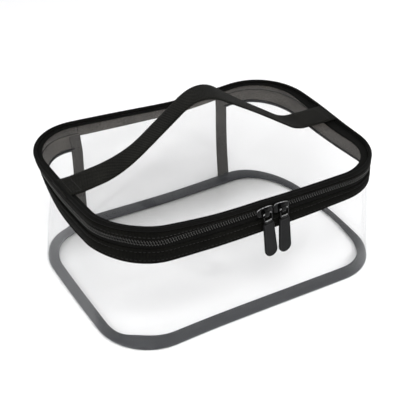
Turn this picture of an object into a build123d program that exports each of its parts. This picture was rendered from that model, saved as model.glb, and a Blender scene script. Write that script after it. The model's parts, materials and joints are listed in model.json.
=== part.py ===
from build123d import *
import os

os.makedirs("parts", exist_ok=True)

# A clear toiletry bag: a rounded box of clear sheet with a zipped fabric band round its top,
# a clear lid hinged at the back and a webbing carrying strap over the lid.
# Millimetres. Z is up, the front face looks along -Y, and the base stands on Z = 0.

# Driving dimensions
BASE_W = 250.0  # outside width of the base
BASE_D = 174.0  # outside depth of the base
BASE_R = 46.0  # corner radius of the base
TAPER = 0.5  # how far the wall leans in on each side by the time it meets the band
SHEET = 0.6  # thickness of the clear sheet
BAND_Z = 69.5  # lower edge of the zip band
ZIP_Z = 86.5  # centre line of the zip
RIM_Z = 98.0  # top of the piping round the lid
PIPING_R = 2.0
CORE_R = 1.2
CLOTH = 1.2  # thickness of the band's cloth
TAPE_W = 11.0  # width of the binding tapes
TAPE_T = 1.0
WEBBING_W = 25.0
WEBBING_T = 1.6
SEAM_X = 72.5  # the two upright seams at the back, where the zip ends
TUCK = 5.0  # how far the wall runs up inside the band
LID_TAPE_REACH = 8.6  # inner edge of the tape under the lid, from the band's face
FIT = 0.05  # gap between pieces that are sewn together
RUN = 0.35  # gap between a slider and the zip

BAND_W = BASE_W - 2 * TAPER
BAND_D = BASE_D - 2 * TAPER
BAND_R = BASE_R - TAPER
PIPING_Z = RIM_Z - PIPING_R
LID_Z = PIPING_Z - 1.0  # top of the clear lid, below the top of the piping
COIL_T = 1.6
COIL_GAP = 1.1  # between the two rows of zip teeth
GUSSET_GAP = 5.2  # from the zip's centre line down to the lower cloth, clear of the sliders
HINGE_STRIP_Z = 81.0  # lower edge of the narrow cloth strip at the middle of the back
HINGE_GAP = 0.5

# Carrying strap: corners of its path, as X and height above the lid, before they are rounded
STRAP_Z = LID_Z + 1.2  # middle of the webbing's thickness where it lies on the lid
STRAP_LEFT_X = -111.0
STRAP_RIGHT_X = 90.0
STRAP_RISE = (-72.0, STRAP_Z + 5.5)
STRAP_APEX = (-4.8, STRAP_Z + 58.0)
STRAP_FOOT = (77.0, STRAP_Z)
STRAP_RADII = (90.0, 34.0, 36.0)
ANCHOR_X = BAND_W / 2 - PIPING_R - 0.1  # outer end of the sewn webbing patches
FLEX_LEFT_X = -47.0  # the webbing twists between here and its sewn end
FLEX_RIGHT_X = 42.0

# Sliders
SLIDER_X = {"left": 2.0, "right": 17.0}
SLIDER_L = 14.4
SLIDER_H = 9.6
SLIDER_NARROW_H = 7.4
SLIDER_CORNER_R = 1.0
SLIDER_EDGE_R = 0.4
BACK_TRIM = 1.0  # how much smaller the back plate is than the front one
PLATE_T = 1.2
PLATE_GAP = 0.8  # between the band's cloth and the front plate
WEDGE_L = 3.0
WEDGE_H = 0.4
WEDGE_INSET = 0.8
FLANGE_T = 0.8
FLANGE_INSET = 1.5
BRIDGE_W = 3.6
BRIDGE_H = 7.2
BRIDGE_RISE = 3.6
BRIDGE_WALL = 1.2
BRIDGE_R = 1.8
BRIDGE_INNER_R = 0.7

# Pulls
PIVOT_DROP = 1.0  # the pull's top bar hangs this far below the zip's centre line
PULL_BAR = 1.4
PULL_W = 8.2
PULL_CORNER_R = 1.6
PULL_WINDOW_L = 7.6
PULL_WINDOW_R = 1.0
PULL_LEAN = {"left": 5.0, "right": 4.0}  # degrees that each pull hangs away from upright
GRIP_DROP = 12.0  # from the zip's centre line down to the top of the grip
GRIP_L = 29.0
GRIP_TOP_W = 9.0
GRIP_END_W = 10.6
GRIP_T = 2.3
GRIP_EDGE_R = 0.5
NESTED_FIT = 0.02  # room round a cord or tongue inside its cover
TONGUE_W = 6.0
TONGUE_L = 22.0
TONGUE_T = 1.0

FRONT_Y = -BAND_D / 2
PLATE_Y = CLOTH + PLATE_GAP  # how far the slider's front plate stands off the wall
PIVOT_Y = PLATE_Y + PLATE_T + (BRIDGE_RISE - BRIDGE_WALL) / 2


def outline(z, offset):
    """The bag's rounded outline at height z, moved out from the wall's outer face by offset."""
    lean = TAPER * max(0.0, 1 - z / BAND_Z)
    grow = offset + lean
    face = RectangleRounded(BAND_W + 2 * grow, BAND_D + 2 * grow, BAND_R + grow)
    return Plane.XY.offset(z) * face


def prism(z0, z1, offset):
    """A solid that fills the outline from z0 to z1, following the wall's lean."""
    return loft([outline(z0, offset), outline(z1, offset)], ruled=True)


def ring(z0, z1, inner, outer):
    """A strip that runs all the way round the bag between two offsets."""
    return prism(z0, z1, outer) - prism(z0, z1, inner)


def block(x0, x1, y0, y1, z0, z1):
    """A box between two corners."""
    size = Box(x1 - x0, y1 - y0, z1 - z0, align=(Align.MIN, Align.MIN, Align.MIN))
    return Pos(x0, y0, z0) * size


def back_window(half_width):
    """The middle stretch of the back, between the two upright seams."""
    return block(-half_width, half_width, 0, BASE_D, -SHEET, 2 * RIM_Z)


def zipped(strip):
    """The part of a strip that follows the zip: all but the middle of the back."""
    return strip - back_window(SEAM_X + FIT)


def back_middle(strip):
    """The middle of the back, between the upright seams."""
    return strip & back_window(SEAM_X)


def tube_ring(z, offset, radius):
    """A round cord that follows the outline at height z."""
    path = outline(z, offset).face().outer_wire()
    start = Plane(origin=path @ 0, z_dir=path % 0)
    return sweep(start * Circle(radius), path=path)


# Clear panels


def base_panel():
    """Clear floor of the bag, which is the face that it stands on."""
    return extrude(outline(0, 0), SHEET)


def front_side_wall():
    """One clear sheet from the left seam at the back, round the front, to the right seam."""
    low = ring(SHEET + FIT, BAND_Z, -SHEET, 0)
    tucked = ring(BAND_Z, BAND_Z + TUCK, -SHEET, 0)
    return zipped(low + tucked)


def back_panel():
    """Clear sheet between the two upright seams."""
    low = ring(SHEET + FIT, BAND_Z, -SHEET, 0)
    high = ring(BAND_Z, HINGE_STRIP_Z, -SHEET, 0)
    return back_middle(low + high)


def lid_panel():
    """Clear top, which ends inside the piping."""
    return extrude(outline(LID_Z - SHEET, -PIPING_R - FIT), SHEET)


# Binding tapes inside the bag


def base_seam_binding():
    """Tape over the seam of floor and wall: one leg up the wall and one along the floor."""
    floor_z = SHEET + FIT
    leg = ring(floor_z, floor_z + TAPE_T, -SHEET - TAPE_W, -SHEET - FIT)
    upright = ring(floor_z + TAPE_T, TAPE_W, -SHEET - FIT - TAPE_T, -SHEET - FIT)
    return leg + upright


def upright_binding(x):
    """Tape down one of the two seams at the back."""
    near, far = -SHEET - FIT, -SHEET - FIT - TAPE_T
    low = ring(TAPE_W + FIT, BAND_Z, far, near)
    high = ring(BAND_Z, ZIP_Z - HINGE_GAP, far, near)
    stretch = block(x - TAPE_W / 2, x + TAPE_W / 2, 0, BASE_D, 0, RIM_Z)
    return (low + high) & stretch


def lid_seam_binding():
    """Flat tape under the lid, inside the piping."""
    top = LID_Z - SHEET - FIT
    return ring(top - TAPE_T, top, -LID_TAPE_REACH, -PIPING_R - FIT)


# Zip band


def lower_gusset():
    """Cloth outside the wall, below the zip."""
    return zipped(ring(BAND_Z, ZIP_Z - GUSSET_GAP, FIT, FIT + CLOTH))


def lower_zip_tape():
    """Zip tape that is sewn to the wall."""
    return zipped(ring(BAND_Z + TUCK + FIT, ZIP_Z - HINGE_GAP, -SHEET, 0))


def lower_coil():
    """Lower row of zip teeth."""
    top = ZIP_Z - COIL_GAP / 2
    return zipped(ring(top - COIL_T, top, FIT, FIT + COIL_T))


def upper_coil():
    """Upper row of zip teeth."""
    bottom = ZIP_Z + COIL_GAP / 2
    return zipped(ring(bottom, bottom + COIL_T, FIT, FIT + COIL_T))


def upper_zip_tape():
    """Zip tape that is sewn to the lid."""
    return zipped(ring(ZIP_Z + HINGE_GAP, PIPING_Z - PIPING_R - FIT, -SHEET, 0))


def upper_gusset():
    """Cloth above the zip, between the teeth and the piping."""
    bottom = ZIP_Z + COIL_GAP / 2 + COIL_T + FIT
    return zipped(ring(bottom, PIPING_Z - PIPING_R - FIT, FIT, FIT + CLOTH))


def hinge_strip_base():
    """Lower half of the cloth strip on which the lid turns."""
    return back_middle(ring(HINGE_STRIP_Z + FIT, ZIP_Z - HINGE_GAP, -SHEET, SHEET))


def hinge_strip_lid():
    """Upper half of the cloth strip on which the lid turns."""
    return back_middle(ring(ZIP_Z + HINGE_GAP, PIPING_Z - PIPING_R - FIT, -SHEET, SHEET))


def piping_core():
    """Cord inside the piping, which holds the lid's outline."""
    return tube_ring(PIPING_Z, 0, CORE_R)


def piping_cover():
    """Cloth wrapped round the piping cord."""
    return tube_ring(PIPING_Z, 0, PIPING_R) - tube_ring(PIPING_Z, 0, CORE_R + NESTED_FIT)


# Carrying strap


def strap_side():
    """The strap seen from the front: up from the left seam, over, and flat at the right."""
    start, end = (STRAP_LEFT_X, STRAP_Z), (STRAP_RIGHT_X, STRAP_Z)
    corners = [STRAP_RISE, STRAP_APEX, STRAP_FOOT]
    path = FilletPolyline(start, *corners, end, radius=list(STRAP_RADII))
    return Plane.XZ * trace(path, WEBBING_T)


def strap_part(x0, x1):
    """The stretch of webbing between two values of X."""
    whole = extrude(strap_side(), WEBBING_W / 2, both=True)
    return whole & block(x0, x1, -WEBBING_W, WEBBING_W, 0, 2 * RIM_Z)


def anchor(x0, x1):
    """Webbing end sewn flat to the lid."""
    half = WEBBING_W / 2
    return block(x0, x1, -half, half, STRAP_Z - WEBBING_T / 2, STRAP_Z + WEBBING_T / 2)


# Sliders and pulls, built about the zip's centre line on the front face, outward along -Y


def plate(near, far, length, height):
    """A slider plate, higher at the end where the teeth part (+X)."""
    half = length / 2
    points = [
        (-half, -SLIDER_NARROW_H / 2),
        (half - WEDGE_L, -height / 2),
        (half, -height / 2),
        (half, height / 2),
        (half - WEDGE_L, height / 2),
        (-half, SLIDER_NARROW_H / 2),
    ]
    flat = FilletPolyline(*points, radius=SLIDER_CORNER_R, close=True)
    return extrude(Plane.XZ.offset(near) * make_face(flat), far - near)


def bridge():
    """The arch over the pull's top bar."""
    foot = PLATE_Y + PLATE_T
    top = foot + BRIDGE_RISE
    half = BRIDGE_H / 2
    outer = block(-BRIDGE_W / 2, BRIDGE_W / 2, -top, -foot, -half, half)
    rounded = fillet(outer.edges().filter_by(Axis.X).group_by(Axis.Y)[0], BRIDGE_R)
    inside = half - BRIDGE_WALL
    hole = block(-BRIDGE_W, BRIDGE_W, -top + BRIDGE_WALL, -foot, -inside, inside)
    return rounded - fillet(hole.edges().filter_by(Axis.X).group_by(Axis.Y)[0], BRIDGE_INNER_R)


def slider_body():
    """Front and back plates joined by the wedge that parts the teeth, with the bridge."""
    half = SLIDER_L / 2
    back_face = -SHEET - RUN
    front = plate(PLATE_Y, PLATE_Y + PLATE_T, SLIDER_L, SLIDER_H)
    front = fillet(front.faces().sort_by(Axis.Y)[0].edges(), SLIDER_EDGE_R)
    back = plate(back_face - PLATE_T, back_face, SLIDER_L - BACK_TRIM, SLIDER_H - BACK_TRIM)
    wedge_x = half - WEDGE_INSET
    wedge = block(wedge_x - WEDGE_L, wedge_x, -PLATE_Y, -back_face, -WEDGE_H / 2, WEDGE_H / 2)
    low = -SLIDER_NARROW_H / 2
    flange = block(-half + FLANGE_INSET, half - WEDGE_L, -PLATE_Y, -RUN, low - FLANGE_T, low)
    return front + back + wedge + flange + bridge()


def pull_frame():
    """Metal frame whose top bar lies under the bridge, with the tongue inside the grip."""
    top = -PIVOT_DROP + PULL_BAR / 2
    bottom = -GRIP_DROP
    bar = PULL_BAR / 2
    half = PULL_W / 2
    outer = block(-half, half, -PIVOT_Y - bar, -PIVOT_Y + bar, bottom, top)
    outer = fillet(outer.edges().filter_by(Axis.Y).group_by(Axis.Z)[-1], PULL_CORNER_R)
    window_top = top - PULL_BAR
    side = half - PULL_BAR
    window = block(
        -side, side, -PIVOT_Y - PULL_BAR, -PIVOT_Y + PULL_BAR, window_top - PULL_WINDOW_L, window_top
    )
    frame = outer - fillet(window.edges().filter_by(Axis.Y), PULL_WINDOW_R)
    return frame + tongue(bottom, 0)


def tongue(top, room):
    """The blade inside the grip, or with some room round it the grip's pocket."""
    half_w = TONGUE_W / 2 + room
    half_t = TONGUE_T / 2 + room
    low = top - TONGUE_L - room
    return block(-half_w, half_w, -PIVOT_Y - half_t, -PIVOT_Y + half_t, low, top)


def pull_grip():
    """Soft coat over the tongue, a little wider at its round end."""
    top = -GRIP_DROP - NESTED_FIT
    end_r = GRIP_END_W / 2
    end_z = top - GRIP_L + end_r
    side = Line((-GRIP_TOP_W / 2, top), (GRIP_TOP_W / 2, top))
    right = Line((GRIP_TOP_W / 2, top), (end_r, end_z))
    end = ThreePointArc((end_r, end_z), (0, end_z - end_r), (-end_r, end_z))
    left = Line((-end_r, end_z), (-GRIP_TOP_W / 2, top))
    face = make_face([side, right, end, left])
    solid = extrude(Plane.XZ.offset(PIVOT_Y) * face, GRIP_T / 2, both=True)
    solid = fillet(solid.faces().filter_by(Axis.Y).edges(), GRIP_EDGE_R)
    return solid - tongue(top, NESTED_FIT)


def leaning(shape, degrees):
    """Turns a pull about its pivot, so that it hangs a little askew."""
    pivot = Pos(0, 0, -PIVOT_DROP)
    return pivot * Rot(Y=-degrees) * pivot.inverse() * shape


def on_zip(shape, side):
    """Puts a slider piece on the front of the zip; the right one is mirrored."""
    if side == "right":
        shape = mirror(shape, Plane.YZ)
    return Pos(SLIDER_X[side], FRONT_Y, ZIP_Z) * shape


nodes = {
    "base_panel": base_panel(),
    "front_side_wall": front_side_wall(),
    "back_panel": back_panel(),
    "base_seam_binding": base_seam_binding(),
    "left_seam_binding": upright_binding(-SEAM_X),
    "right_seam_binding": upright_binding(SEAM_X),
    "lower_gusset": lower_gusset(),
    "lower_zip_tape": lower_zip_tape(),
    "lower_zip_coil": lower_coil(),
    "hinge_strip_base": hinge_strip_base(),
    "hinge_strip_lid": hinge_strip_lid(),
    "lid_panel": lid_panel(),
    "lid_seam_binding": lid_seam_binding(),
    "piping_core": piping_core(),
    "piping_cover": piping_cover(),
    "upper_gusset": upper_gusset(),
    "upper_zip_tape": upper_zip_tape(),
    "upper_zip_coil": upper_coil(),
    "strap_anchor_left": anchor(-ANCHOR_X, STRAP_LEFT_X - FIT),
    "strap_anchor_right": anchor(STRAP_RIGHT_X + FIT, ANCHOR_X),
    "strap_flex_left": strap_part(STRAP_LEFT_X, FLEX_LEFT_X - FIT),
    "strap_flex_right": strap_part(FLEX_RIGHT_X + FIT, STRAP_RIGHT_X),
    "strap_arch": strap_part(FLEX_LEFT_X, FLEX_RIGHT_X),
}
for hand in SLIDER_X:
    nodes[f"slider_{hand}"] = on_zip(slider_body(), hand)
    lean = PULL_LEAN[hand] if hand == "left" else -PULL_LEAN[hand]
    nodes[f"pull_frame_{hand}"] = on_zip(leaning(pull_frame(), lean), hand)
    nodes[f"pull_grip_{hand}"] = on_zip(leaning(pull_grip(), lean), hand)

for name, shape in nodes.items():
    export_step(shape, f"parts/{name}.step")
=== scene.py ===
import json
import math

import bmesh
import bpy
import numpy as np
from mathutils import Matrix, Vector


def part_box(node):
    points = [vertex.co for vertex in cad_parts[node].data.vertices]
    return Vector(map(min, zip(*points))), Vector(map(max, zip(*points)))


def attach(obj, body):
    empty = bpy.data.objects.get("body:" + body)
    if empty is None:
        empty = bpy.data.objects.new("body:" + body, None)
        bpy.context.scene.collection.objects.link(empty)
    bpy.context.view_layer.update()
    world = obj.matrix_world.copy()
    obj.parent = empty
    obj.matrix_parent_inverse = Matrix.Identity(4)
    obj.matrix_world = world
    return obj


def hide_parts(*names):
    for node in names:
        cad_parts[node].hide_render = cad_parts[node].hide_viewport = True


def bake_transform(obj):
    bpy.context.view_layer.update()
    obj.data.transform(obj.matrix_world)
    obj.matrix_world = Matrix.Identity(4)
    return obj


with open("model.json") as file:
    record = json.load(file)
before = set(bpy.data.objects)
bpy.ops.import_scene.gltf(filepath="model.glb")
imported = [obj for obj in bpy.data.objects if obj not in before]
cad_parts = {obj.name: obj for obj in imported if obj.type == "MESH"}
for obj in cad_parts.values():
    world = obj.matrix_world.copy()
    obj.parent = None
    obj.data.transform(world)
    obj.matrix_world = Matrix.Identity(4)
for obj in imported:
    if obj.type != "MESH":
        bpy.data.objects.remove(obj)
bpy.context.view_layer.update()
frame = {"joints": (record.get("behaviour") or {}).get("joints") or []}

MM = 0.001

# Sizes that the frame gives, in metres
BASE_LO, BASE_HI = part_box("base_panel")
TAPE_LO, TAPE_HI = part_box("lower_zip_tape")
_, WALL_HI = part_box("front_side_wall")
GUSSET_LO, GUSSET_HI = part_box("lower_gusset")
_, COIL_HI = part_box("lower_zip_coil")
UPPER_COIL_LO, UPPER_COIL_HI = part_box("upper_zip_coil")
_, UPPER_TAPE_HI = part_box("upper_zip_tape")
PIPING_LO, PIPING_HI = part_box("piping_cover")
_, LID_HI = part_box("lid_panel")
STRIP_LO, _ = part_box("hinge_strip_base")
SEAM_LO, SEAM_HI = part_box("right_seam_binding")
ANCHOR_L_LO, ANCHOR_L_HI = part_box("strap_anchor_left")
ANCHOR_R_LO, ANCHOR_R_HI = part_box("strap_anchor_right")
ARCH_LO, ARCH_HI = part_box("strap_arch")

# The band's outline: width, depth, corner radius, half its straight sides, and its length round
BAND_W = TAPE_HI.x - TAPE_LO.x
BAND_D = 2 * -TAPE_LO.y
BAND_R = 45.5 * MM
RIGHT_X, BACK_Y, FRONT_Y = BAND_W / 2, BAND_D / 2, -BAND_D / 2
STRAIGHT_X, STRAIGHT_Y = RIGHT_X - BAND_R, BACK_Y - BAND_R
ARC = math.pi / 2 * BAND_R
ROUND = 4 * (STRAIGHT_X + STRAIGHT_Y) + 4 * ARC

BASE_SHIFT = 11.2 * MM  # the soft bag leans back, so its floor lies this far forward of the band
TAPER = (BASE_HI.x - BASE_LO.x - BAND_W) / 2  # the floor is larger than the band by this
SHEET = BASE_HI.z  # thickness of the clear sheet
BAND_Z = GUSSET_LO.z  # the band's lower edge
ZIP_Z = (COIL_HI.z + UPPER_COIL_LO.z) / 2
TEETH_Z = 0.6 * MM  # how far each row of teeth lies from the coils' meeting edges
LID_Z = LID_HI.z
PIPE_R = 0.8 * (PIPING_HI.z - PIPING_LO.z) / 2  # the cord pulls its cloth tighter than the solid
PIPE_Z = PIPING_HI.z - PIPE_R
CLOTH_TOP = PIPE_Z - PIPE_R + 0.4 * MM  # the band's cloth ends inside the piping
CLOTH = 1.2 * MM  # its thickness
HEM_SEAM, ZIP_SEAM = 2.2 * MM, 8.7 * MM  # heights above BAND_Z where stitches pull the cloth in
SEAM_X = (SEAM_LO.x + SEAM_HI.x) / 2  # the upright seams, where the zip ends too
SEAM_SHIFT = 2.5 * MM  # the soft back's upright seams stand this far to the left
TAPE_W = SEAM_HI.x - SEAM_LO.x
ZIP_START, ZIP_END = SEAM_X, ROUND - SEAM_X
WEBBING_HALF = (ARCH_HI.y - ARCH_LO.y) / 2

GAP = 0.05 * MM  # between pieces that would share a face
STEP = 3 * MM  # between the sections of a swept strip


# ---------------- camera, floor and light


def make_camera():
    """The camera looks down on the bag from the front left."""
    azimuth, elevation, roll = (math.radians(a) for a in (-31.41, 32.69, 1.0))
    distance = 0.8224
    target = Vector((-3.07, -2.39, 49.6)) * MM
    flat = math.cos(elevation)
    back = Vector((math.sin(azimuth) * flat, -math.cos(azimuth) * flat, math.sin(elevation)))
    level = Vector((math.cos(azimuth), math.sin(azimuth), 0))
    upright = back.cross(level)
    right = level * math.cos(roll) + upright * math.sin(roll)
    up = upright * math.cos(roll) - level * math.sin(roll)
    data = bpy.data.cameras.new("camera")
    data.sensor_width = 36.0
    data.lens = 89.63
    data.clip_start = 0.01
    data.clip_end = 20.0
    camera = bpy.data.objects.new("camera", data)
    bpy.context.scene.collection.objects.link(camera)
    turn = Matrix((right, up, back)).transposed().to_4x4()
    camera.matrix_world = Matrix.Translation(target + back * distance) @ turn
    bpy.context.scene.camera = camera


def area_light(name, place, aim, size, watts):
    """A soft rectangular lamp at place, pointing at aim."""
    data = bpy.data.lights.new(name, "AREA")
    data.shape = "RECTANGLE"
    data.size, data.size_y = size
    data.energy = watts
    lamp = bpy.data.objects.new(name, data)
    bpy.context.scene.collection.objects.link(lamp)
    lamp.location = place
    lamp.rotation_euler = (Vector(aim) - Vector(place)).to_track_quat("-Z", "Y").to_euler()


def make_studio():
    """White surroundings, a pale floor and soft lamps above and beside the bag."""
    scene = bpy.context.scene
    scene.view_settings.view_transform = "Standard"
    scene.cycles.transparent_max_bounces = 64
    world = bpy.data.worlds.new("studio")
    scene.world = world
    world.use_nodes = True
    tree = world.node_tree
    sky = tree.nodes["Background"]
    split = tree.nodes.new("ShaderNodeSeparateXYZ")
    tree.links.new(tree.nodes.new("ShaderNodeTexCoord").outputs["Generated"], split.inputs[0])
    fade = [(0.42, (1, 1, 1)), (0.62, (0.42, 0.42, 0.43))]  # white below, grey overhead
    tree.links.new(ramp(tree, split.outputs[2], fade), sky.inputs["Color"])
    sky.inputs["Strength"].default_value = 1.08
    area_light("key", (-0.5, -0.9, 1.6), (0, 0, 0.05), (0.9, 0.9), 15)
    area_light("fill", (1.3, -0.6, 1.2), (0, 0, 0.05), (0.9, 0.9), 12)
    area_light("left_strip", (-1.2, -0.5, 0.5), (0, 0, 0.05), (0.12, 0.7), 6)
    area_light("glint_left", (-0.75, -0.8, 0.75), (0, 0, 0.08), (0.06, 0.06), 2)
    area_light("glint_right", (0.35, -1.0, 0.9), (0, 0, 0.08), (0.06, 0.06), 2)

    size = 6.0
    corners = [(-size, -size, 0), (size, -size, 0), (size, size, 0), (-size, size, 0)]
    floor = new_object("floor", corners, [(0, 1, 2, 3)])
    floor.location.z = -0.2 * MM
    material, _, shader, _ = node_kit("floor")
    shader.inputs["Base Color"].default_value = (0.93, 0.93, 0.93, 1)
    shader.inputs["Roughness"].default_value = 0.9
    shader.inputs["Specular IOR Level"].default_value = 0.1
    floor.data.materials.append(material)


# ---------------- outline of the bag


def outline_at(distance):
    """Points and outward normals on the band's outer face, by distance from the back's middle.

    The distance runs clockwise seen from above: back, right side, front, left side."""
    t = np.mod(np.asarray(distance, float), ROUND)
    legs = [
        (STRAIGHT_X, (0.0, BACK_Y), (1, 0), None),
        (ARC, (STRAIGHT_X, STRAIGHT_Y), None, 90),
        (2 * STRAIGHT_Y, (RIGHT_X, STRAIGHT_Y), (0, -1), None),
        (ARC, (STRAIGHT_X, -STRAIGHT_Y), None, 0),
        (2 * STRAIGHT_X, (STRAIGHT_X, FRONT_Y), (-1, 0), None),
        (ARC, (-STRAIGHT_X, -STRAIGHT_Y), None, -90),
        (2 * STRAIGHT_Y, (-RIGHT_X, -STRAIGHT_Y), (0, 1), None),
        (ARC, (-STRAIGHT_X, STRAIGHT_Y), None, 180),
        (STRAIGHT_X, (-STRAIGHT_X, BACK_Y), (1, 0), None),
    ]
    points = np.zeros(t.shape + (2,))
    normals = np.zeros(t.shape + (2,))
    start = 0.0
    for length, origin, along, angle in legs:
        here = (t >= start) & (t <= start + length + 1e-9)
        run = t[here] - start
        if along is None:
            turn = np.radians(angle) - run / BAND_R
            normal = np.stack([np.cos(turn), np.sin(turn)], -1)
            points[here] = np.array(origin) + normal * BAND_R
        else:
            normal = np.tile((-along[1], along[0]), (run.size, 1)).astype(float)
            points[here] = np.array(origin) + run[:, None] * np.array(along, float)
        normals[here] = normal
        start += length
    return points, normals


def lean(z):
    """How far the clear wall stands outside the band's face at height z."""
    return TAPER * np.clip(1 - np.asarray(z, float) / BAND_Z, 0, 1)


def skin(distance, offset, z):
    """Points at an offset from the wall's outer face and a height, as the soft bag settles."""
    points, normals = outline_at(distance)
    while points.ndim < np.ndim(offset) + 1:
        points, normals = points[..., None, :], normals[..., None, :]
    offset, z = np.broadcast_arrays(offset, z)
    xy = points + normals * (offset + lean(z))[..., None]
    return settled(np.concatenate([xy, z[..., None]], -1))


def bump_at(x, y, centre_x, centre_y, radius):
    """A smooth hump, 1 at its centre."""
    return np.exp(-(((x - centre_x) ** 2 + (y - centre_y) ** 2) / radius**2))


def humps(x, y, rows):
    """Smooth humps added up; each row is a height, the centre's x and y, and a radius."""
    return sum(height * bump_at(x, y, *where) for height, *where in rows)


def slope(value, low, high):
    """0 up to low, 1 from high on, and a straight rise between them."""
    return np.clip((value - low) / (high - low), 0, 1)


def settled(place):
    """Moves points as the soft bag settles. Inside this function lengths are in millimetres."""
    x, y, z = np.moveaxis(place, -1, 0) / MM
    right, back, straight_x = RIGHT_X / MM, BACK_Y / MM, STRAIGHT_X / MM
    left, front_y, band_z = -right, -back, BAND_Z / MM

    rise = slope(z, 0, band_z)
    drop = 1 - rise
    above = slope(z, band_z, LID_Z / MM)
    below = 1 - above
    near_band = bump_at(z, 0, band_z, 0, 20)
    front = slope(-y, front_y, back)
    to_right = slope(x, 0, right)
    front_left = bump_at(x, y, left + 15, front_y + 15, 45)
    back_left = bump_at(x, y, left, 62, 42)
    back_right = bump_at(x, y, right - 15, back - 10, 45)

    # To the right: the whole rim a little, the slack back left corner, the floor's right side
    side = 1.3 * rise**3 + 1.2 * above * back_right
    side += (1.6 * drop + 3 * np.sin(np.pi * rise**2) * below + 8.5 * rise * below) * back_left
    side += (to_right * (1 - 2 * front) - 0.8 * front_left) * drop
    rows = [
        (4 * drop, right - 35, back, 35),
        (5.8 * drop, right, 5, 55),
        (2 * above, right, 18, 34),
        (0.7 * near_band, left, -20, 45),
    ]
    side += humps(x, y, rows)

    # Forward: the floor lies in front of the band, though less so along its back edge
    held_back = 0.66 + 0.66 * slope(x, -90, -70)
    held_back += humps(x, 0, [(0.25, right - 25, 0, 40), (-0.1, 10, 0, 40)])
    forward = BASE_SHIFT / MM + 1.8 * front + 3 * front_left - 1.5 * to_right * (1 - front)
    forward -= 9.6 * held_back * slope(y, 0, back) ** 2

    # Up: the rim rides up at its corners and sags between them
    corner_y = -(STRAIGHT_Y + 0.75 * BAND_R) / MM
    corner_left, corner_right = -straight_x - 0.7 * BAND_R / MM, straight_x + 0.6 * BAND_R / MM
    lift = humps(x, y, [(6, corner_left, corner_y, 52), (3, corner_right, corner_y, 52)])
    lift *= rise**2 * (0.1 + 0.9 * np.maximum(above, slope(x, 0, 60)))
    middle = 1 - 0.9 * slope(x, -20, 120) - 0.9 * slope(-x, 40, 100)
    lift -= front**2 * (2 * rise**2 * middle + (2.6 * above + 5 * to_right) * above)
    lift += 0.3 * above * back_right
    rows = [
        (2.4 * above**2, -95, back, 55),
        (-3 * above, 30, back, 48),
        (3 * near_band, left + 20, back, 45),
        (7 * near_band, right - 25, back, 50),
        (2.8 * near_band * below, left + 4, -58, 27),
    ]
    lift += humps(x, y, rows)

    # The zip stays level along the front, where the sliders run
    straight = 1 - slope(np.abs(x), straight_x + 12, straight_x + 32)
    lift *= 1 - bump_at(z, 0, ZIP_Z / MM, 0, 5) * straight * slope(front, 0.5, 1)
    return place + np.stack([side, -forward * drop, lift], -1) * MM


# ---------------- mesh helpers


def new_object(name, verts, faces, uvs=None):
    """A smooth mesh object from arrays; uvs has one pair for each vertex of each face."""
    mesh = bpy.data.meshes.new(name)
    mesh.from_pydata([tuple(v) for v in verts], [], [tuple(f) for f in faces])
    if uvs is not None:
        layer = mesh.uv_layers.new(name="cloth")
        layer.data.foreach_set("uv", np.asarray(uvs, np.float32).ravel())
    mesh.update()
    mesh.polygons.foreach_set("use_smooth", [True] * len(mesh.polygons))
    obj = bpy.data.objects.new(name, mesh)
    bpy.context.scene.collection.objects.link(obj)
    return obj


def joined(name, shells):
    """One mesh object from several (vertices, faces) shells."""
    verts, faces = [], []
    for shell_verts, shell_faces in shells:
        faces += [tuple(int(i) + len(verts) for i in face) for face in shell_faces]
        verts += [tuple(v) for v in shell_verts]
    return new_object(name, verts, faces)


def grid_faces(rows, cols, closed):
    """Quads over a grid of vertices whose columns close up, and whose rows do if closed.

    Returns the quads and the grid place of each of their corners."""
    row_count = rows if closed else rows - 1
    r, c = np.meshgrid(np.arange(row_count), np.arange(cols), indexing="ij")
    r, c = r.ravel(), c.ravel()
    corners = [(r, c), (r, c + 1), (r + 1, c + 1), (r + 1, c)]
    faces = np.stack([(a % rows) * cols + b % cols for a, b in corners], -1)
    places = np.stack([np.stack([a, b], -1) for a, b in corners], 1)
    return faces, places


def end_caps(rows, cols):
    """The two faces that close the ends of a skin, rows by cols."""
    last = (rows - 1) * cols
    return [tuple(range(cols))[::-1], tuple(range(last, last + cols))]


def shell(rings, closed=False):
    """(vertices, faces) of a skin through equal rings, capped at both ends if it's open."""
    rings = np.asarray(rings)
    rows, cols = rings.shape[:2]
    faces = [tuple(f) for f in grid_faces(rows, cols, closed)[0]]
    return rings.reshape(-1, 3), faces if closed else faces + end_caps(rows, cols)


def swept(name, sections, along, around, closed_path=False):
    """A skin over sections: an array of stations by section points by xyz.

    along gives each station's distance and around each section point's, for the cloth's UVs."""
    rows, cols = sections.shape[:2]
    faces, places = grid_faces(rows, cols, closed_path)
    u = np.append(along, along[-1] + (along[1] - along[0]))[places[..., 0]]
    v = np.append(around, around[-1] + (around[1] - around[0]))[places[..., 1]]
    uvs = np.stack([u, v], -1).reshape(-1, 2)
    faces = [tuple(f) for f in faces]
    if not closed_path:
        faces += end_caps(rows, cols)
        flat = np.stack([np.zeros(cols), around[:cols]], -1)
        uvs = np.concatenate([uvs, flat[::-1], flat])
    return new_object(name, sections.reshape(-1, 3), faces, uvs)


def path_steps(start, end, step=STEP):
    """Even distances from start to end, about a step apart."""
    return np.linspace(start, end, max(2, int(round((end - start) / step)) + 1))


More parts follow.
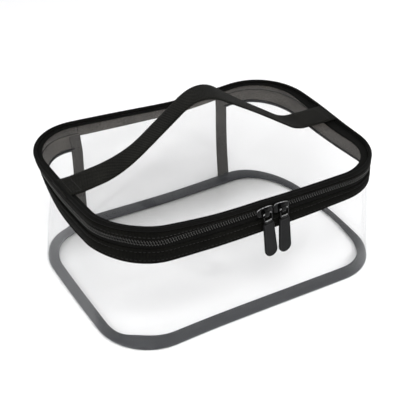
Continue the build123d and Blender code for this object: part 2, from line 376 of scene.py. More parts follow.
def band_piece(name, start, end, profile, wave=None):
    """A strip swept round the outline. profile lists (offset, z) round its closed section."""
    whole = end - start >= ROUND - 1e-6
    t = path_steps(start, end)
    if whole:
        t = t[:-1]
    profile = np.asarray(profile, float)
    offsets, heights = profile[None, :, 0], profile[None, :, 1]
    offsets = offsets + (wave(t[:, None], heights) if wave is not None else 0 * t[:, None])
    loop = np.vstack([profile, profile[:1]])
    around = np.concatenate([[0], np.cumsum(np.hypot(*np.diff(loop, axis=0).T))])
    return swept(name, skin(t, offsets, heights), t, around[:-1], closed_path=whole)


def strip_profile(z0, z1, inner, outer, edge):
    """Section of a flat strip with rounded edges, from z0 up to z1 between two offsets."""
    depth = outer - inner
    heights = np.linspace(z0 + edge, z1 - edge, 6)
    outside = [(outer, z) for z in heights]
    inside = [(inner, z) for z in heights[::-1]]
    top = [(outer - 0.3 * depth, z1 - 0.2 * edge), (inner + 0.3 * depth, z1)]
    bottom = [(inner + 0.3 * depth, z0), (outer - 0.3 * depth, z0 + 0.2 * edge)]
    return outside + top + inside + bottom


def rounded_section(half_a, half_b, count=16, power=0.45):
    """A rounded rectangle about the origin, as pairs."""
    angles = np.linspace(0, 2 * math.pi, count + 1)[:-1]
    a = half_a * np.sign(np.cos(angles)) * np.abs(np.cos(angles)) ** power
    b = half_b * np.sign(np.sin(angles)) * np.abs(np.sin(angles)) ** power
    return np.column_stack([a, b])


def arc(centre_x, centre_z, radius, first, last, count):
    """Points on an arc between two angles in degrees."""
    angles = np.radians(np.linspace(first, last, count))
    return [(centre_x + radius * math.cos(a), centre_z + radius * math.sin(a)) for a in angles]


def unit(vectors):
    """Rows of vectors, each made one long."""
    return vectors / np.linalg.norm(vectors, axis=1)[:, None]


def turn_outward(obj):
    """Turns every face of a closed mesh outward."""
    mesh = bmesh.new()
    mesh.from_mesh(obj.data)
    bmesh.ops.recalc_face_normals(mesh, faces=mesh.faces)
    mesh.to_mesh(obj.data)
    mesh.free()


# ---------------- materials


def node_kit(name):
    """A new material's node tree, its Principled shader and its output."""
    material = bpy.data.materials.new(name)
    material.use_nodes = True
    tree = material.node_tree
    return material, tree, tree.nodes["Principled BSDF"], tree.nodes["Material Output"]


def add(tree, kind, **values):
    """A node of the given kind, with inputs by name and settings by attribute."""
    node = tree.nodes.new(kind)
    for key, value in values.items():
        if hasattr(node, key):
            setattr(node, key, value)
        else:
            node.inputs[key.replace("_", " ")].default_value = value
    return node


def maths(tree, operation, *values):
    """A Math node; each value is a socket or a number."""
    node = tree.nodes.new("ShaderNodeMath")
    node.operation = operation
    for value, socket in zip(values, node.inputs):
        if isinstance(value, (int, float)):
            socket.default_value = value
        else:
            tree.links.new(value, socket)
    return node.outputs[0]


def weighted(tree, *terms):
    """The sum of sockets, each times its weight."""
    total = 0.0
    for socket, weight in terms:
        total = maths(tree, "MULTIPLY_ADD", socket, weight, total)
    return total


def noise_over(tree, vector, scale, detail):
    """Noise over a vector in metres."""
    node = add(tree, "ShaderNodeTexNoise", Scale=scale, Detail=detail)
    tree.links.new(vector, node.inputs["Vector"])
    return node.outputs[0]


def mixed(tree, share, first, second):
    """A mix of two shaders by a share socket."""
    node = tree.nodes.new("ShaderNodeMixShader")
    for value, socket in zip((share, first, second), node.inputs):
        tree.links.new(value, socket)
    return node.outputs[0]


def ramp(tree, value, stops):
    """A colour ramp over value; stops are (place, colour)."""
    node = tree.nodes.new("ShaderNodeValToRGB")
    elements = node.color_ramp.elements
    while len(elements) < len(stops):
        elements.new(0.5)
    for element, (place, colour) in zip(elements, stops):
        element.position = place
        element.color = (*colour, 1)
    tree.links.new(value, node.inputs[0])
    return node.outputs[0]


def bump(tree, height, distance, strength):
    """A Bump node over a height socket."""
    node = add(tree, "ShaderNodeBump", Distance=distance, Strength=strength)
    tree.links.new(height, node.inputs["Height"])
    return node.outputs[0]


def cloth_axes(tree):
    """Sockets along and across the cloth in metres, and both as a vector, from its UVs."""
    source = add(tree, "ShaderNodeUVMap", uv_map="cloth")
    split = tree.nodes.new("ShaderNodeSeparateXYZ")
    tree.links.new(source.outputs[0], split.inputs[0])
    return split.outputs[0], split.outputs[1], source.outputs[0]


def wave_of(tree, socket, pitch):
    """A wave between 0 and 1 along a socket in metres."""
    turned = maths(tree, "MULTIPLY", socket, 2 * math.pi / pitch)
    return maths(tree, "MULTIPLY_ADD", maths(tree, "SINE", turned), 0.5, 0.5)


def woven(name, dark, light, pitch, rough=0.8, twill=False, fuzz=0.015, depth=0.12, gloss=0.06):
    """Woven cloth: warp and weft waves, uneven yarn and a soft sheen. depth is in millimetres."""
    material, tree, shader, _ = node_kit(name)
    along, across, vector = cloth_axes(tree)
    if twill:
        diagonal = weighted(tree, (along, 1.0), (across, 0.9))
        weft = wave_of(tree, diagonal, pitch)
        warp = wave_of(tree, across, pitch * 0.8)
    else:
        weft = wave_of(tree, along, pitch)
        warp = wave_of(tree, across, pitch)
    weave = maths(tree, "MULTIPLY", weft, warp)
    raised = weighted(tree, (weave, 0.6), (weft, 0.4))
    noise = noise_over(tree, vector, 1400.0, 3.0)
    patches = noise_over(tree, vector, 45.0, 4.0)
    flecks = noise_over(tree, vector, 620.0, 2.0)
    tone = weighted(tree, (raised, 0.35), (patches, 0.25), (flecks, 0.4))
    tree.links.new(ramp(tree, tone, [(0.35, dark), (0.7, light)]), shader.inputs["Base Color"])
    height = weighted(tree, (raised, 1.0), (noise, 0.5))
    tree.links.new(bump(tree, height, depth * MM, 0.9), shader.inputs["Normal"])
    roughness = maths(tree, "MULTIPLY_ADD", noise, 0.25, rough - 0.12)
    tree.links.new(roughness, shader.inputs["Roughness"])
    shader.inputs["Sheen Weight"].default_value = fuzz
    shader.inputs["Sheen Roughness"].default_value = 0.45
    shader.inputs["Specular IOR Level"].default_value = gloss
    return material


def painted_back_shade(tree, vector, tint):
    """Painted shade: the floor greys softly towards the back seam, standing in for the shadow there.
    """
    split = tree.nodes.new("ShaderNodeSeparateXYZ")
    tree.links.new(vector, split.inputs[0])
    share = add(tree, "ShaderNodeMapRange", interpolation_type="SMOOTHSTEP")
    share.inputs["From Min"].default_value = 30 * MM
    share.inputs["From Max"].default_value = 84 * MM
    tree.links.new(split.outputs[1], share.inputs["Value"])
    mix = add(tree, "ShaderNodeMixRGB", blend_type="MULTIPLY", Color2=(0.72, 0.72, 0.715, 1))
    tree.links.new(share.outputs[0], mix.inputs[0])
    tree.links.new(tint, mix.inputs[1])
    return mix.outputs[0]


def clear_sheet(name, through, haze, wrinkle=1.0, shine=0.5, paint_back_shade=False):
    """Clear vinyl: mostly see-through, faintly grey, with a glossy uneven skin."""
    material, tree, shader, output = node_kit(name)
    tree.nodes.remove(shader)
    vector = tree.nodes.new("ShaderNodeTexCoord").outputs["Object"]
    broad = noise_over(tree, vector, 14.0, 2.0)
    fine = noise_over(tree, vector, 90.0, 3.0)
    tint = ramp(tree, broad, [(0.3, [through - 0.008] * 3), (0.7, [through + 0.004] * 3)])
    # painted shade on the floor near the back seam
    if paint_back_shade:
        tint = painted_back_shade(tree, vector, tint)
    window = add(tree, "ShaderNodeBsdfTransparent")
    tree.links.new(tint, window.inputs["Color"])
    milk = add(tree, "ShaderNodeBsdfDiffuse", Color=(0.86, 0.87, 0.875, 1))
    veil = maths(tree, "MULTIPLY_ADD", fine, haze * 0.5, haze * 0.75)
    body = mixed(tree, veil, window.outputs[0], milk.outputs[0])

    normal = bump(tree, weighted(tree, (broad, 1.0), (fine, 0.08)), 0.5 * MM * wrinkle, 0.6)
    gloss = add(tree, "ShaderNodeBsdfGlossy", distribution="GGX", Color=(0.82, 0.83, 0.84, 1))
    fresnel = add(tree, "ShaderNodeFresnel", IOR=1.42)
    tree.links.new(maths(tree, "MULTIPLY_ADD", fine, 0.06, 0.03), gloss.inputs["Roughness"])
    for node in (gloss, fresnel):
        tree.links.new(normal, node.inputs["Normal"])
    shine_share = maths(tree, "MULTIPLY", fresnel.outputs[0], shine)
    skin_mix = mixed(tree, shine_share, body, gloss.outputs[0])

    # The sheet is drawn once: its inner face lets everything through
    far_side = add(tree, "ShaderNodeBsdfTransparent")
    backfacing = tree.nodes.new("ShaderNodeNewGeometry").outputs["Backfacing"]
    once = mixed(tree, backfacing, skin_mix, far_side.outputs[0])
    tree.links.new(once, output.inputs["Surface"])
    return material


def coat(name, stops, grain, roughness, gloss, relief=None, patches=None):
    """A plain coat with an uneven shade and shine.

    grain and patches are a noise's scale and detail; stops shade the patches, or else the grain.
    roughness is its spread and its least value, relief a bump's depth and strength."""
    material, tree, shader, _ = node_kit(name)
    vector = tree.nodes.new("ShaderNodeTexCoord").outputs["Object"]
    noise = noise_over(tree, vector, *grain)
    shade = noise_over(tree, vector, *patches) if patches else noise
    tree.links.new(ramp(tree, shade, stops), shader.inputs["Base Color"])
    tree.links.new(maths(tree, "MULTIPLY_ADD", noise, *roughness), shader.inputs["Roughness"])
    if relief:
        tree.links.new(bump(tree, noise, *relief), shader.inputs["Normal"])
    shader.inputs["Specular IOR Level"].default_value = gloss
    return material


def coated_metal(name, dark, light, gloss):
    """Glossy paint on cast metal, a little uneven."""
    stops = [(0.35, dark), (0.8, light)]
    return coat(name, stops, (900.0, 4.0), (0.1, 0.06), gloss, relief=(0.02 * MM, 0.4))


def nylon(name, dark, light, rough):
    """Black nylon, glossy as monofilament or duller as spun thread."""
    return coat(name, [(0.3, dark), (0.8, light)], (1500.0, 2.0), (0.2, rough), 0.4)


BLACK = (0.001, 0.001, 0.001)
CLEAR_WALL = clear_sheet("clear_wall", 0.968, 0.02, shine=0.6)
CLEAR_BACK = clear_sheet("clear_back", 0.89, 0.03)
CLEAR_LID = clear_sheet("clear_lid", 0.925, 0.015, wrinkle=0.7, shine=0.22)
# The clear floor carries painted shade towards its back seam
CLEAR_FLOOR = clear_sheet("clear_floor", 0.985, 0.01, wrinkle=0.4, paint_back_shade=True)
BAND_CLOTH = woven("band_cloth", BLACK, (0.008, 0.008, 0.006), 1.0 * MM, fuzz=0.006, gloss=0.03)
PIPING_CLOTH = woven("piping_cloth", BLACK, (0.005, 0.005, 0.004), 0.9 * MM, fuzz=0.006)
ZIP_CLOTH = woven("zip_cloth", BLACK, (0.006, 0.006, 0.005), 0.7 * MM, twill=True)
INNER_CLOTH = woven("inner_cloth", (0.033, 0.03, 0.027), (0.16, 0.146, 0.13), 0.7 * MM, fuzz=0.1)
SEAM_TAPE = woven("seam_tape", (0.026, 0.024, 0.022), (0.098, 0.092, 0.084), 0.6 * MM, fuzz=0.05)
TAPE_DARK, TAPE_LIGHT = (0.005, 0.006, 0.008), (0.022, 0.024, 0.030)
FLOOR_TAPE = woven("floor_tape", TAPE_DARK, TAPE_LIGHT, 0.6 * MM, rough=0.45, gloss=0.22)
WEBBING = woven("webbing", BLACK, (0.018, 0.018, 0.014), 2.2 * MM, twill=True, depth=0.3)
PAINTED = coated_metal("painted_metal", BLACK, (0.003, 0.003, 0.003), 0.12)
# A lighter coat for the upward faces of the sliders and pulls: painted highlight
PAINTED_HIGHLIGHT = coated_metal("painted_highlight_coat", (0.06, 0.06, 0.062), (0.6, 0.6, 0.6), 0.5)
PULL_COAT = coat(
    "pull_coat",
    [(0.3, (0.004, 0.004, 0.00424)), (0.7, (0.00625, 0.00625, 0.006625))],
    grain=(2200.0, 4.0),
    roughness=(0.2, 0.42),
    gloss=0.11,
    relief=(0.04 * MM, 0.6),
    patches=(120.0, 3.0),
)
TEETH = nylon("zip_teeth", (0.012, 0.012, 0.011), (0.05, 0.05, 0.047), 0.3)
THREAD = nylon("thread", (0.002, 0.002, 0.002), (0.008, 0.008, 0.007), 0.6)


def finish_piece(obj, body, material, slot, *nodes):
    """Dresses a piece, lets it ride on its body and hides the CAD nodes it stands for."""
    obj.data.materials.clear()
    obj.data.materials.append(material)
    if body is not None:
        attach(obj, body)
    if nodes:
        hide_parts(*nodes)
    return obj


# ---------------- clear panels


def wall_wave(t, z):
    """The soft sheet's gentle bulge and ripple between floor and band."""
    rise = slope(z, 0, BAND_Z)
    belly = np.sin(np.pi * rise)
    broad, fine, climb = 61.0, 113.0, 40.0  # radians per metre
    ripple = 0.5 * np.sin(t * broad + 1.3) + 0.3 * np.sin(t * fine + z * climb)
    return belly * (0.6 + ripple * 0.7) * MM


def sheet_profile(z0, z1, inner, outer, rows):
    """Section of a thin upright sheet, up its outer face and down its inner one."""
    heights = np.linspace(z0, z1, rows)
    return [(outer, z) for z in heights] + [(inner, z) for z in heights[::-1]]


def make_walls():
    """The wrapped front and side wall, and the back panel between the upright seams."""
    rows = 24
    profile = sheet_profile(SHEET + GAP, WALL_HI.z, -SHEET, 0, rows)
    wall = band_piece("front_side_wall_sheet", ZIP_START, ZIP_END, profile, wave=wall_wave)
    finish_piece(wall, "bag", CLEAR_WALL, "clear_sheet", "front_side_wall")
    under_strip = STRIP_LO.z + 4 * MM
    profile = sheet_profile(SHEET + GAP, under_strip, -SHEET, 0, rows)
    start, end = -SEAM_X + GAP, SEAM_X - GAP
    back = band_piece("back_panel_sheet", start, end, profile, wave=wall_wave)
    finish_piece(back, "bag", CLEAR_BACK, "clear_sheet", "back_panel")


def disc(name, z_of, offset, thickness):
    """A thin panel that fills the outline, following z_of(x, y), with a top and an underside."""
    rings, step = 22, 4 * MM
    t = path_steps(0, ROUND, step)[:-1]
    points, normals = outline_at(t)
    edge = points + normals * offset
    shares = np.linspace(0, 1, rings + 1)[1:]
    flat = np.vstack([np.zeros((1, 2))] + [edge * share for share in shares])
    z = z_of(flat[:, 0], flat[:, 1])
    verts = np.vstack([settled(np.column_stack([flat, z + up])) for up in (thickness, 0)])
    n = len(t)
    count = 1 + n * rings
    faces = []
    for start, order in ((0, 1), (count, -1)):
        for i in range(n):
            j = (i + 1) % n
            faces.append((start, start + 1 + j, start + 1 + i)[::order])
            for k in range(rings - 1):
                a = start + 1 + k * n
                b = a + n
                faces.append((a + i, a + j, b + j, b + i)[::order])
    rim = 1 + (rings - 1) * n
    for i in range(n):
        j = (i + 1) % n
        faces.append((rim + i, rim + j, count + rim + j, count + rim + i))
    uvs = np.concatenate([verts[list(f), :2] for f in faces])
    return new_object(name, verts, faces, uvs)


def edge_share(x, y):
    """1 at the outline and 0 at the middle of the bag."""
    return np.clip(np.maximum(np.abs(x) / RIGHT_X, np.abs(y) / BACK_Y), 0, 1)


def lid_height(x, y):
    """The clear lid's underside: tight at its rim, a little slack and rippled in the middle."""
    slack = 1 - edge_share(x, y) ** 3
    sag = -1.2 * MM * slack
    ripple = 0.35 * MM * slack * (np.sin(x * 43 + y * 29) + 0.6 * np.sin(y * 71 - x * 17 + 1.0))
    return LID_Z - SHEET + sag + ripple


def floor_height(x, y):
    """The clear floor lies flat at its rim and rides up by a hair in the middle."""
    slack = 1 - edge_share(x, y) ** 4
    return 0.12 * MM * slack * (1 + np.sin(x * 37 + 0.4) * np.sin(y * 41))


def make_flat_panels():
    """The clear lid and the clear floor."""
    lid = disc("lid_sheet", lid_height, -PIPE_R - 0.1 * MM, SHEET)
    finish_piece(lid, "lid", CLEAR_LID, "clear_sheet", "lid_panel")
    floor = disc("floor_sheet", floor_height, TAPER, SHEET)
    finish_piece(floor, "bag", CLEAR_FLOOR, "clear_sheet", "base_panel")


# ---------------- seam tapes


def smoothed(values, reach):
    """Values round a closed path, each blended with its neighbours on both sides."""
    ring = np.concatenate([values[-reach:], values, values[:reach]])
    weights = np.hanning(2 * reach + 3)[1:-1]
    return np.convolve(ring, weights / weights.sum(), "valid")


def make_floor_tape():
    """Folded tape over the floor seam: upright along the front, lying on the floor elsewhere."""
    thick, edge_gap = 0.9 * MM, 0.3 * MM
    t = path_steps(0, ROUND)[:-1]
    points, normals = outline_at(t)
    upright = smoothed(slope(-normals[:, 1], 0.5, 1), 5)
    to_left, to_right = np.clip(-normals[:, 0], 0, 1), np.clip(normals[:, 0], 0, 1)
    tilt = np.radians(3 + 13 * to_left + 81 * upright)
    pinched = to_right * bump_at(points[:, 1], 0, -12 * MM, 0, 32 * MM)
    spread = 0.3 * np.clip(normals[:, 1], 0, 1) + 0.12 * to_right
    width = TAPE_W * (0.7 + 0.19 * upright + spread * (1 - upright) - 0.3 * pinched)
    across = np.linspace(0, 1, 9)
    curl = 0.5 * MM * np.sin(np.pi * across)
    section = []
    for face, order in ((0, 1), (1, -1)):
        for share, bow in zip(across[::order], curl[::order]):
            reach = width * share
            lift = bow + thick * face
            offset = -SHEET - edge_gap - reach * np.cos(tilt) - lift * np.sin(tilt)
            z = SHEET + edge_gap + reach * np.sin(tilt) + lift * np.cos(tilt)
            section.append(np.stack([offset, z], -1))
    section = np.stack(section, 1)
    verts = skin(t, section[..., 0], section[..., 1])
    around = np.concatenate([across, 1.1 + across]) * TAPE_W
    tape = swept("floor_seam_tape", verts, t, around, closed_path=True)
    finish_piece(tape, "bag", FLOOR_TAPE, "binding_tape", "base_seam_binding")


def make_upright_tape(x, side):
    """Tape down one back seam, a little slanted and slightly crowned across its width."""
    slant = 4.5 * MM
    heights = path_steps(2 * MM, ZIP_Z - 1 * MM)
    shares = np.linspace(-1, 1, 7)
    rows = []
    for z in heights:
        middle = x + slant * (1 - z / BAND_Z)
        ring = []
        for face, order in ((0, 1), (1, -1)):
            for s in shares[::order]:
                crown = 0.35 * MM * (1 - s * s)
                depth = SHEET + 0.1 * MM + face * (0.6 * MM + crown)
                ring.append(skin(middle + s * TAPE_W / 2, -depth, z))
        rows.append(ring)
    around = np.concatenate([shares, 2.2 + shares]) * TAPE_W / 2
    tape = swept(f"{side}_seam_tape", np.array(rows), heights, around)
    finish_piece(tape, "bag", SEAM_TAPE, "binding_tape", f"{side}_seam_binding")


def make_lid_tape():
    """Flat tape over the lid's edge, just inside the piping and broader on the right, where the extra
    width is painted shade: a black strip standing in for the dark inside of the right rim.
    """
    t = path_steps(0, ROUND)[:-1]
    points, normals = outline_at(t)
    to_right = np.clip(normals[:, 0], 0, 1)
    front = np.clip(-normals[:, 1], 0, 1)
    # painted shade: the tape widens on the right to stand for the shade inside the right rim
    broad = 2.2 * to_right**2 + 4.2 * to_right * bump_at(points[:, 1], 0, -15 * MM, 0, 40 * MM)
    width = (5.7 + 0.5 * front + broad) * MM - PIPE_R
    shares = np.linspace(0, 1, 7)
    low, high = LID_Z + GAP, LID_Z + 0.35 * MM
    inward = -PIPE_R + 0.2 * MM - width[:, None] * np.concatenate([shares, shares[::-1]])
    heights = np.repeat([low, high], shares.size)
    verts = skin(t, inward, heights[None, :])
    around = np.concatenate([shares, 1.1 + shares]) * 7 * MM
    tape = swept("lid_seam_tape", verts, t, around, closed_path=True)
    finish_piece(tape, "lid", PIPING_CLOTH, "binding_tape", "lid_seam_binding")


# ---------------- zip band


def puffed(base_z, points):
    """Points near the cloth's face, each given as millimetres out from it and up from base_z."""
    return [(CLOTH + out * MM, base_z + up * MM) for out, up in points]


def zip_piece(name, profile, body, material, slot, *nodes):
    """A strip along the zip's whole length."""
    piece = band_piece(name, ZIP_START, ZIP_END, profile)
    return finish_piece(piece, body, material, slot, *nodes)


def make_band():
    """Cloth, zip tapes and piping round the top."""
    swells = [(0, 0), (0.45, 0.5), (0.45, 1.6), (-0.15, HEM_SEAM / MM), (0.35, 3.0), (0.55, 5.5)]
    swells += [(0.40, 8.0), (-0.25, ZIP_SEAM / MM), (0.35, 9.3)]
    lower = [(GAP, BAND_Z)] + puffed(BAND_Z, swells)
    lower += puffed(GUSSET_HI.z, [(0.35, -0.3), (-0.2, 0)])
    lower += [(GAP, GUSSET_HI.z), (GAP, BAND_Z + 5 * MM)]
    zip_piece("lower_band_cloth", lower, "bag", BAND_CLOTH, "band_cloth", "lower_gusset")

    low = BAND_Z + 3 * MM
    tape = [(-SHEET - 0.7 * MM, z) for z in np.linspace(ZIP_Z - GAP, low, 6)]
    tape += [(-SHEET - 0.2 * MM, low), (-SHEET - 0.1 * MM, WALL_HI.z)]
    tape += [(0, WALL_HI.z + 0.3 * MM), (0, ZIP_Z - GAP)]
    paint_inside(zip_piece("lower_tape", tape, "bag", ZIP_CLOTH, "zip_tape", "lower_zip_tape"))

    inner, outer = -SHEET - 1.0 * MM, -SHEET - 0.65 * MM
    bottom, top = low - 0.3 * MM, low + 0.9 * MM
    fold = [(inner, bottom), (outer, bottom), (outer, top), (inner, top)]
    zip_piece("lower_edge_fold", fold, "bag", ZIP_CLOTH, "zip_tape")

    low = UPPER_COIL_HI.z + 0.4 * MM
    upper = [(GAP, low)]
    upper += puffed(low, [(-0.3, 0), (0.25, 0.5), (0.25, 1.3), (-0.1, 1.8), (0.2, 2.5)])
    upper += puffed((low + CLOTH_TOP) / 2, [(0.3, 0.8)])
    upper += puffed(CLOTH_TOP, [(0.1, -0.9), (-0.5, -0.2)]) + [(GAP, CLOTH_TOP)]
    zip_piece("upper_band_cloth", upper, "lid", BAND_CLOTH, "band_cloth", "upper_gusset")

    tape = strip_profile(ZIP_Z + GAP, UPPER_TAPE_HI.z, -SHEET - 0.1 * MM, 0, edge=0.2 * MM)
    paint_inside(zip_piece("upper_tape", tape, "lid", ZIP_CLOTH, "zip_tape", "upper_zip_tape"))

    turn = np.linspace(0, 2 * math.pi, 17)[:-1]
    profile = [(PIPE_R * math.cos(a), PIPE_Z + PIPE_R * math.sin(a)) for a in turn]
    piece = band_piece("piping", 0, ROUND, profile)
    finish_piece(piece, "lid", PIPING_CLOTH, "band_cloth", "piping_cover", "piping_core")


def paint_inside(obj):
    """Faces that look into the bag get the paler inner cloth."""
    obj.data.materials.append(INNER_CLOTH)
    for face in obj.data.polygons:
        x, y, _ = face.center
        outward = Vector((x / BAND_W**2, y / BAND_D**2, 0)).normalized()
        if face.normal.dot(outward) < -0.3:
            face.material_index = 1


def make_hinge_strip():
    """The back strip: one cloth over the zip's height, in place of both halves of the hinge strip."""
    t = path_steps(-SEAM_X + 0.1 * MM, SEAM_X - 0.1 * MM)
    heights = np.linspace(STRIP_LO.z + 3 * MM, CLOTH_TOP, 22)
    offsets = np.repeat([1.1 * MM, -0.9 * MM], heights.size)
    verts = skin(t, offsets + 0 * t[:, None], np.append(heights, heights[::-1]))
    around = np.concatenate([heights, heights + 0.02]) - heights[0]
    strip = swept("hinge_strip", verts, t, around)
    finish_piece(strip, None, BAND_CLOTH, "band_cloth", "hinge_strip_base", "hinge_strip_lid")
    paint_inside(strip)
    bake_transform(strip)


def make_teeth(name, body, centre_z, first_turn, node):
    """One row of zip teeth: a flattened spiral of filament that follows the zip tape."""
    pitch, filament = 2.1 * MM, 0.34 * MM
    depth, spread = 0.75 * MM, 0.62 * MM
    per_loop, around_count = 9, 6
    loops = int((ZIP_END - ZIP_START) / pitch)
    count = loops * per_loop + 1
    turn = np.linspace(0, loops * 2 * math.pi, count) + first_turn
    t = np.linspace(ZIP_START, ZIP_END, count)
    _, normals = outline_at(t)
    line = skin(t, 0.2 * MM + depth * np.cos(turn), centre_z + spread * np.sin(turn))
    tangent = unit(np.gradient(line, axis=0))
    side = np.column_stack([normals, np.zeros(count)])
    side = unit(side - tangent * np.sum(side * tangent, 1)[:, None])
    other = np.cross(tangent, side)
    angles = np.linspace(0, 2 * math.pi, around_count + 1)[:-1]
    cos, sin = np.cos(angles)[None, :, None], np.sin(angles)[None, :, None]
    verts = line[:, None] + (side[:, None] * cos + other[:, None] * sin) * filament
    finish_piece(swept(name, verts, t, angles * filament), body, TEETH, "zip_teeth", node)


# ---------------- carrying strap


def strap_path():
    """The strap's middle line in X and Z, from the left seam over the top to the right patch."""
    z0 = (ANCHOR_L_LO.z + ANCHOR_L_HI.z) / 2
    corners = [
        (ANCHOR_L_LO.x - 3 * MM, z0 + 0.2 * MM),
        (ANCHOR_L_HI.x, z0 + 0.6 * MM),
        (-72 * MM, z0 + 6.0 * MM),
        (-4.0 * MM, z0 + 57.0 * MM),
        (81 * MM, z0 + 3.2 * MM),
        (ANCHOR_R_LO.x, z0 + 0.9 * MM),
        (ANCHOR_R_HI.x + 3 * MM, z0 + 0.6 * MM),
    ]
    corners = [np.array(corner) for corner in corners]
    radii = [20 * MM, 90 * MM, 32 * MM, 30 * MM, 20 * MM]
    line = [corners[0]]
    for before, here, after, radius in zip(corners, corners[1:], corners[2:], radii):
        into = (here - before) / np.linalg.norm(here - before)
        out = (after - here) / np.linalg.norm(after - here)
        turn = math.acos(float(np.clip(into @ out, -1, 1)))
        reach = radius * math.tan(turn / 2)
        start, end = here - into * reach, here + out * reach
        for share in np.linspace(0, 1, 24):
            line.append((1 - share) ** 2 * start + 2 * share * (1 - share) * here + share**2 * end)
    line.append(corners[-1])
    return np.array(line)


def strap_turn(x):
    """How far the webbing's width turns, seen from above, over the strap's rising side."""
    begins = slope(x, ANCHOR_L_HI.x, ANCHOR_L_HI.x + 55 * MM)
    ends = slope(-x, -50 * MM, 10 * MM)
    share = np.minimum(begins, ends)
    return math.radians(20) * share * share * (3 - 2 * share)


def resample(line, step):
    """Points evenly along a line, with their distances."""
    gaps = np.linalg.norm(np.diff(line, axis=0), axis=1)
    at = np.concatenate([[0], np.cumsum(gaps)])
    steps = np.arange(0, at[-1], step)
    return np.column_stack([np.interp(steps, at, line[:, i]) for i in range(line.shape[1])]), steps


def webbing_piece(name, line, distance):
    """Ribbed webbing along a line in X and Z, with scalloped edges."""
    half_thick, rib_pitch, scallop = 0.8 * MM, 1.5 * MM, 0.6 * MM
    tangent = unit(np.gradient(line, axis=0))
    normal = np.column_stack([-tangent[:, 1], 0 * distance, tangent[:, 0]])
    middle = np.column_stack([line[:, 0], 0 * distance, line[:, 1]])
    turn = strap_turn(line[:, 0])
    across = np.column_stack([np.sin(turn), np.cos(turn), 0 * turn])
    rib = 0.5 + 0.5 * np.cos(distance * 2 * math.pi / rib_pitch)
    shares = np.linspace(-1, 1, 13)
    rows = []
    for face in (1, -1):
        for s in shares[::face]:
            at_edge = abs(s) > 0.99
            reach = s * WEBBING_HALF + np.sign(s) * (rib - 0.5) * scallop * at_edge
            crown = half_thick * face * (1 - 0.35 * abs(s) ** 8) * (0.84 + 0.16 * rib)
            rows.append(middle + across * reach[:, None] + normal * crown[:, None])
    verts = np.stack(rows, 1)
    around = np.concatenate([shares, 2.1 + shares]) * WEBBING_HALF
    return swept(name, verts, distance, around)


def make_strap():
    """The strap in two lengths, each bending from its sewn end on the lid to the arch."""
    line, distance = resample(strap_path(), 0.35 * MM)
    cut = int(np.searchsorted(line[:, 0], ARCH_HI.x))
    left = webbing_piece("strap_left", line[: cut + 1], distance[: cut + 1])
    right = webbing_piece("strap_right", line[cut:], distance[cut:])
    finish_piece(left, None, WEBBING, "webbing", "strap_anchor_left", "strap_flex_left", "strap_arch")
    finish_piece(right, None, WEBBING, "webbing", "strap_anchor_right", "strap_flex_right")
    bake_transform(left)
    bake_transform(right)


# ---------------- stitching


def stitch_row(name, body, places, tangents, outward, slot, length=2.0 * MM):
    """A row of thread stitches: one small six-sided lozenge at each place."""
    radius = 0.22 * MM
    profile = [(-0.5, 0.25), (-0.35, 1.0), (0.35, 1.0), (0.5, 0.25)]
    angles = np.linspace(0, 2 * math.pi, 7)[:-1]
    stitches = []
    for place, along, out, across in zip(places, tangents, outward, np.cross(tangents, outward)):
        spokes = (np.outer(np.sin(angles), out) + np.outer(np.cos(angles), across)) * radius
        rings = [place + along * share * length + spokes * swell for share, swell in profile]
        stitches.append(shell(rings))
    finish_piece(joined(name, stitches), body, THREAD, slot)


def band_stitches(name, body, offset, z):
    """A row of stitches round the band."""
    pitch = 3.2 * MM
    t = np.arange(ZIP_START + pitch, ZIP_END, pitch)
    places = skin(t, offset + 0 * t, z + 0 * t)
    ahead = skin(t + 0.5 * MM, offset + 0 * t, z + 0 * t)
    _, normals = outline_at(t)
    outward = np.column_stack([normals, 0 * t])
    stitch_row(name, body, places, unit(ahead - places), outward, "band_cloth")


def make_stitches():
    """Thread along the band's seams and round the strap's sewn ends."""
    upper_seam = UPPER_COIL_HI.z + 2.2 * MM
    band_stitches("lower_hem_stitches", "bag", CLOTH - 0.1 * MM, BAND_Z + HEM_SEAM)
    band_stitches("lower_zip_stitches", "bag", CLOTH - 0.2 * MM, BAND_Z + ZIP_SEAM)
    band_stitches("upper_zip_stitches", "lid", CLOTH - 0.05 * MM, upper_seam)
    patch_stitches("right_patch_stitches", ANCHOR_R_LO.x + 2 * MM, ANCHOR_R_HI.x - 4 * MM)
    patch_stitches("left_patch_stitches", ANCHOR_L_LO.x + 3 * MM, ANCHOR_L_HI.x - 1 * MM)


def patch_stitches(name, x0, x1):
    """Stitches in a rectangle where the webbing is sewn to the lid."""
    half = WEBBING_HALF - 2.2 * MM
    top = ANCHOR_L_HI.z + 0.5 * MM
    corners = [(x0, -half), (x1, -half), (x1, half), (x0, half), (x0, -half)]
    places, tangents = [], []
    for (ax, ay), (bx, by) in zip(corners, corners[1:]):
        length = math.hypot(bx - ax, by - ay)
        along = np.array([(bx - ax) / length, (by - ay) / length, 0])
        for gap in np.arange(1.2 * MM, length, 2.6 * MM):
            places.append(np.array([ax, ay, top]) + along * gap)
            tangents.append(along)
    up = np.tile([0.0, 0.0, 1.0], (len(places), 1))
    stitch_row(name, "lid", places, np.array(tangents), up, "webbing", length=1.8 * MM)


# ---------------- sliders and pulls

JOINTS = {joint["name"]: joint for joint in frame["joints"]}
PULL_LEAN = {"left": math.radians(9.0), "right": math.radians(5.5)}


def pillow(half_x, low_z, high_z, near, far, taper):
    """A flat plate with soft edges, narrower at its -X end; near and far are along -Y."""
    shares = np.sin(np.linspace(-1, 1, 17) * math.pi / 2)
    rings = []
    for share in shares:
        x = share * half_x
        swell = (1 - abs(share) ** 5) ** 0.5 * 0.96 + 0.04
        width = 1 - taper * np.clip((1 - share) / 2, 0, 1)
        section = rounded_section((high_z - low_z) / 2 * width * swell, (far - near) / 2 * swell)
        z = section[:, 0] + (high_z + low_z) / 2
        y = -(section[:, 1] + (far + near) / 2)
        rings.append(np.column_stack([0 * z + x, y, z]))
    return shell(rings)


